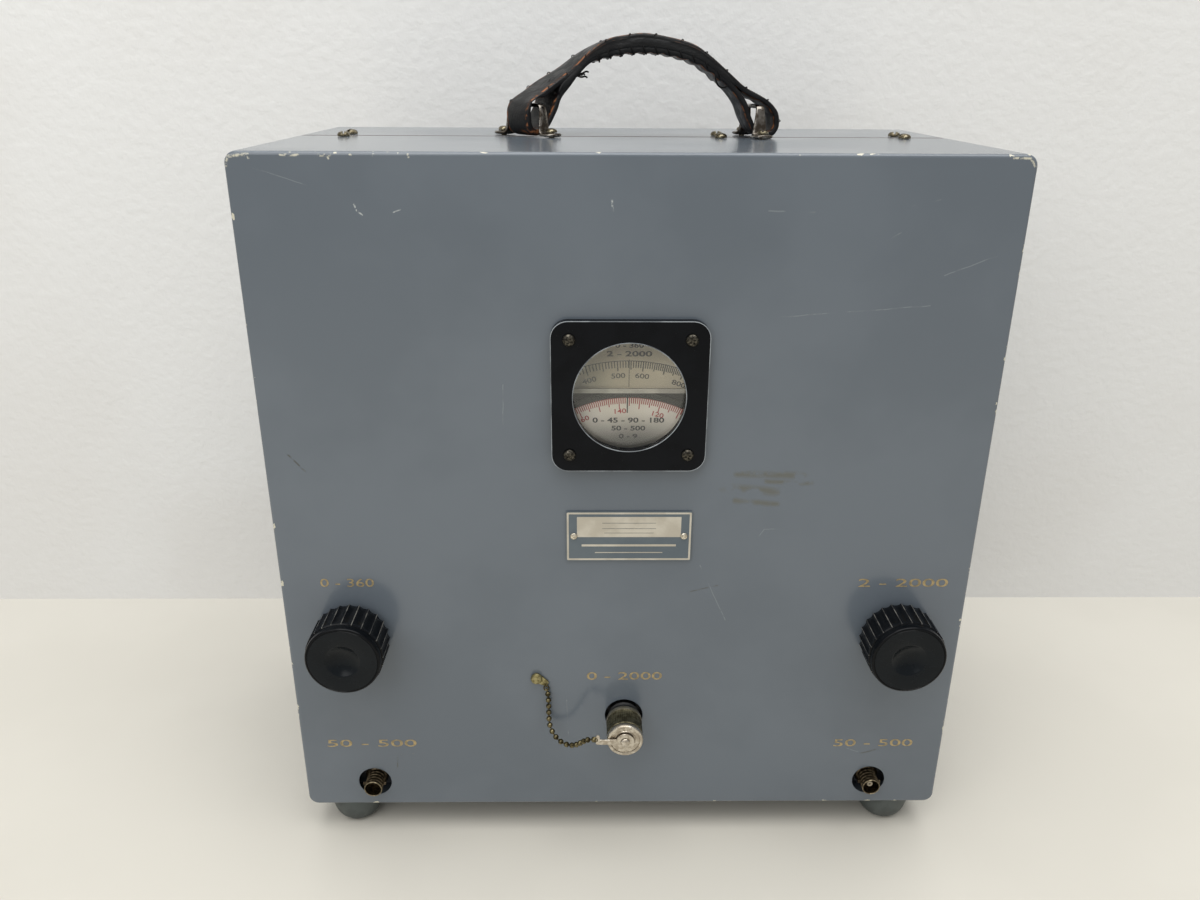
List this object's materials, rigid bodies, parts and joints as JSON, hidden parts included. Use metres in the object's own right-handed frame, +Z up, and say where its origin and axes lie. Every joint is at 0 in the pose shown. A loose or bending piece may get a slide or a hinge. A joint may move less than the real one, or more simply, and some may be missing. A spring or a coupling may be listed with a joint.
{
  "type": "vhf impedance bridge",
  "caption": "Steel-cased bench bridge with coaxial dials behind a square window, fluted knobs, a capped coaxial jack on a bead chain, bayonet jacks, rubber feet and a strap handle.",
  "frame": {"origin": "centre of the bounding box, on the plane that the feet stand on", "axes": "+Z up, the front panel faces -Y, +X to the right seen from the front"},
  "size_m": [0.343, 0.209, 0.4107],
  "materials": {
    "case_enamel": "semi-gloss slate blue enamel",
    "plated_steel": "plated, slightly worn",
    "aluminium": "milled",
    "nickel_plate": "dulled nickel plate",
    "tarnished_brass": "tarnished",
    "black_phenolic": "moulded, satin gloss",
    "grey_rubber": "matte, dusty",
    "black_leather": "worn, edges rubbed brown",
    "dial_paint": "matte, aged cream",
    "clear_sheet": "clear",
    "nameplate_paint": "satin",
    "cable_jacket": "matte",
    "bronze_cord": "braided bronze cord"
  },
  "bodies": {
    "chassis": {"front_shell": "case_enamel", "rear_shell": "case_enamel", "seam_frame": "plated_steel", "chassis_pan": "aluminium", "connector_shelf": "aluminium", "generator_jack": "nickel_plate", "detector_jack": "nickel_plate", "foot_front_left": "grey_rubber", "foot_front_right": "grey_rubber", "foot_rear_left": "grey_rubber", "foot_rear_right": "grey_rubber", "window_bezel": "black_phenolic", "window_glass": "clear_sheet", "index_plate": "clear_sheet", "bezel_screw_1": "plated_steel", "bezel_screw_2": "plated_steel", "bezel_screw_3": "plated_steel", "bezel_screw_4": "plated_steel", "nameplate": "nameplate_paint", "phase_bushing": "tarnished_brass", "magnitude_bushing": "tarnished_brass", "dial_spindle": "plated_steel", "phase_drive_cord": "bronze_cord", "magnitude_drive_cord": "bronze_cord", "main_line": "aluminium", "electric_attenuator": "nickel_plate", "magnetic_attenuator": "nickel_plate", "phase_line": "aluminium", "generator_cable": "cable_jacket", "detector_cable": "cable_jacket", "unknown_jack": "nickel_plate", "chain_anchor_screw": "tarnished_brass", "chain_anchor_lug": "nickel_plate", "cap_chain": "tarnished_brass", "case_screw_1": "plated_steel", "case_screw_2": "plated_steel", "case_screw_3": "plated_steel", "case_screw_4": "plated_steel", "case_screw_5": "plated_steel", "case_screw_6": "plated_steel", "handle_bracket_left": "plated_steel", "handle_bracket_right": "plated_steel", "bracket_screw_1": "plated_steel", "bracket_screw_2": "plated_steel", "bracket_screw_3": "plated_steel", "bracket_screw_4": "plated_steel"},
    "phase_drive": {"phase_knob": "black_phenolic", "phase_shaft": "plated_steel"},
    "magnitude_drive": {"magnitude_knob": "black_phenolic", "magnitude_shaft": "plated_steel"},
    "phase_dial_group": {"phase_dial": "dial_paint", "phase_pulley": "aluminium", "probe_arm": "tarnished_brass"},
    "magnitude_dial_group": {"magnitude_dial": "dial_paint", "magnitude_pulley": "aluminium"},
    "carriage": {"attenuator_carriage": "tarnished_brass"},
    "cap_carrier": {"cap_lug": "nickel_plate"},
    "cap": {"unknown_cap": "nickel_plate"},
    "handle_group": {"handle": "black_leather"}
  },
  "joints": [
    {"name": "phase_knob_turn", "type": "hinge", "parent": "chassis", "child": "phase_drive", "pos_m": [-0.1375, -0.0795, 0.1275], "axis": [0, -1, 0], "range_deg": [-267, 1800]},
    {"name": "phase_dial_turn", "type": "hinge", "parent": "chassis", "child": "phase_dial_group", "pos_m": [0, -0.0795, 0.1905], "axis": [0, -1, 0], "range_deg": [-44.5, 300]},
    {"name": "magnitude_knob_turn", "type": "hinge", "parent": "chassis", "child": "magnitude_drive", "pos_m": [0.1375, -0.0795, 0.1275], "axis": [0, -1, 0], "range_deg": [-1676.4, 390]},
    {"name": "magnitude_dial_turn", "type": "hinge", "parent": "chassis", "child": "magnitude_dial_group", "pos_m": [0, -0.0795, 0.1905], "axis": [0, -1, 0], "range_deg": [-279.4, 65]},
    {"name": "carriage_slide", "type": "slide", "parent": "chassis", "child": "carriage", "axis": [0, 0, 1], "range_m": [-0.00738, 0.0317]},
    {"name": "cap_travel", "type": "slide", "parent": "chassis", "child": "cap_carrier", "axis": [0, -1, 0], "range_m": [0, 0.012]},
    {"name": "cap_turn", "type": "hinge", "parent": "cap_carrier", "child": "cap", "pos_m": [0, -0.0795, 0.0769], "axis": [0, -1, 0], "range_deg": [0, 4080]},
    {"name": "handle_lift", "type": "slide", "parent": "chassis", "child": "handle_group", "axis": [0, 0, 1], "range_m": [0, 0.007]}
  ],
  "couplings": [
    {"joint": "phase_dial_turn", "follows": "phase_knob_turn", "ratio": 0.16667},
    {"joint": "magnitude_dial_turn", "follows": "magnitude_knob_turn", "ratio": 0.16667},
    {"joint": "carriage_slide", "follows": "magnitude_knob_turn", "m_per_rad": -0.0010833},
    {"joint": "cap_travel", "follows": "cap_turn", "m_per_rad": 0.0001684}
  ]
}
